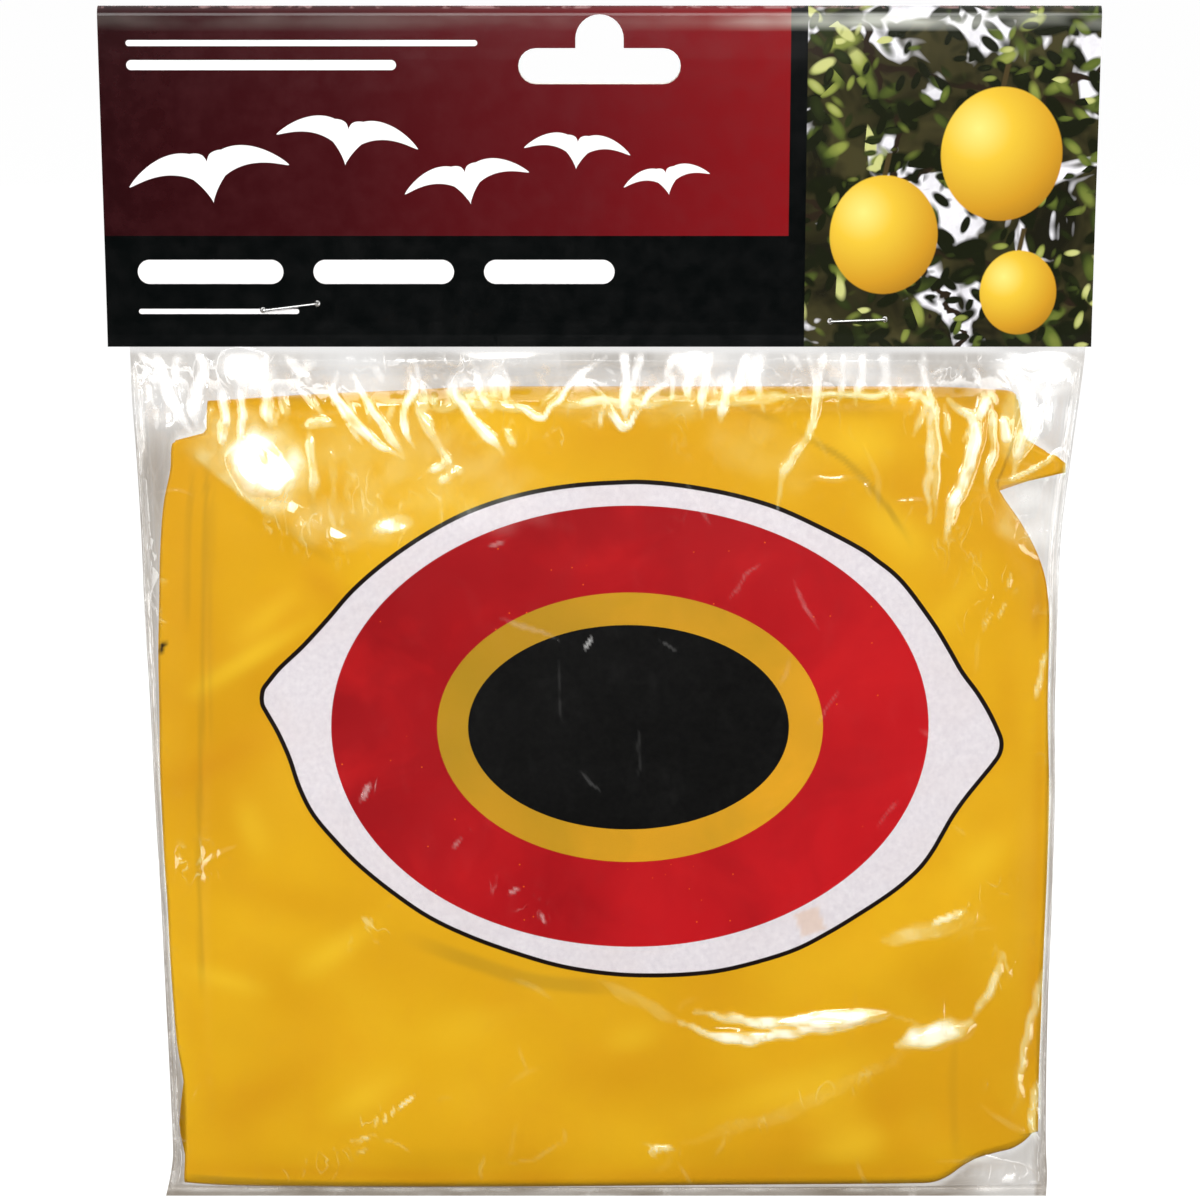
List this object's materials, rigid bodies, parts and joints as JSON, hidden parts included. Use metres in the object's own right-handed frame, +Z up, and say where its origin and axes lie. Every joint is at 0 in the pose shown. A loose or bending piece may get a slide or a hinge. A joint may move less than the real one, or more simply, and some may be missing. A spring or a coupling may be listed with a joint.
{
  "type": "bird scare balloon",
  "caption": "Folded vinyl bird scaring ball in a clear bag closed by a stapled folded header card with a hanging slot",
  "frame": {"origin": "centre of the round peg notch of the hanging slot, in the card's middle plane", "axes": "+Z up along the hanging pack, +X to the right seen from the front, front of the pack towards -Y"},
  "size_m": [0.1968, 0.0191, 0.2486],
  "materials": {
    "printed_card": "glossy varnished board, dark red and black",
    "staple_steel": "bright drawn wire",
    "clear_film": "thin clear glossy film",
    "yellow_vinyl": "soft sheen",
    "patch_vinyl": "soft sheen",
    "valve_pvc": "milky translucent",
    "sticker_backing_paper": "smooth release paper",
    "reflective_foil": "mirror-bright foil"
  },
  "bodies": {
    "header": {"header_card": "printed_card", "staple_left": "staple_steel", "staple_right": "staple_steel", "bag_mouth": "clear_film"},
    "bag": {"bag_front_wall": "clear_film", "bag_back_wall": "clear_film"},
    "ball": {"gore_1": "yellow_vinyl", "gore_2": "yellow_vinyl", "gore_3": "yellow_vinyl", "gore_4": "yellow_vinyl", "gore_5": "yellow_vinyl", "gore_6": "yellow_vinyl", "bottom_pole_patch": "patch_vinyl", "top_pole_patch": "patch_vinyl", "hang_tab": "patch_vinyl", "valve_body": "valve_pvc", "plug_strap": "valve_pvc"},
    "plug": {"valve_plug": "valve_pvc"},
    "stickers": {"sticker_backing": "sticker_backing_paper", "pupil_sticker_1": "reflective_foil", "pupil_sticker_2": "reflective_foil", "pupil_sticker_3": "reflective_foil", "pupil_sticker_4": "reflective_foil", "pupil_sticker_5": "reflective_foil", "pupil_sticker_6": "reflective_foil"}
  },
  "joints": [
    {"name": "bag_swing", "type": "hinge", "parent": "header", "child": "bag", "pos_m": [0, 0, -0.062], "axis": [1, 0, 0], "range_deg": [-115, 115]},
    {"name": "ball_shift", "type": "slide", "parent": "bag", "child": "ball", "axis": [0, 0, 1], "range_m": [0, 0.002]},
    {"name": "plug_pull", "type": "slide", "parent": "ball", "child": "plug", "axis": [0, 1, 0], "range_m": [0, 0.003]},
    {"name": "sticker_sheet_shift", "type": "slide", "parent": "bag", "child": "stickers", "axis": [0, 0, 1], "range_m": [0, 0.05]}
  ]
}
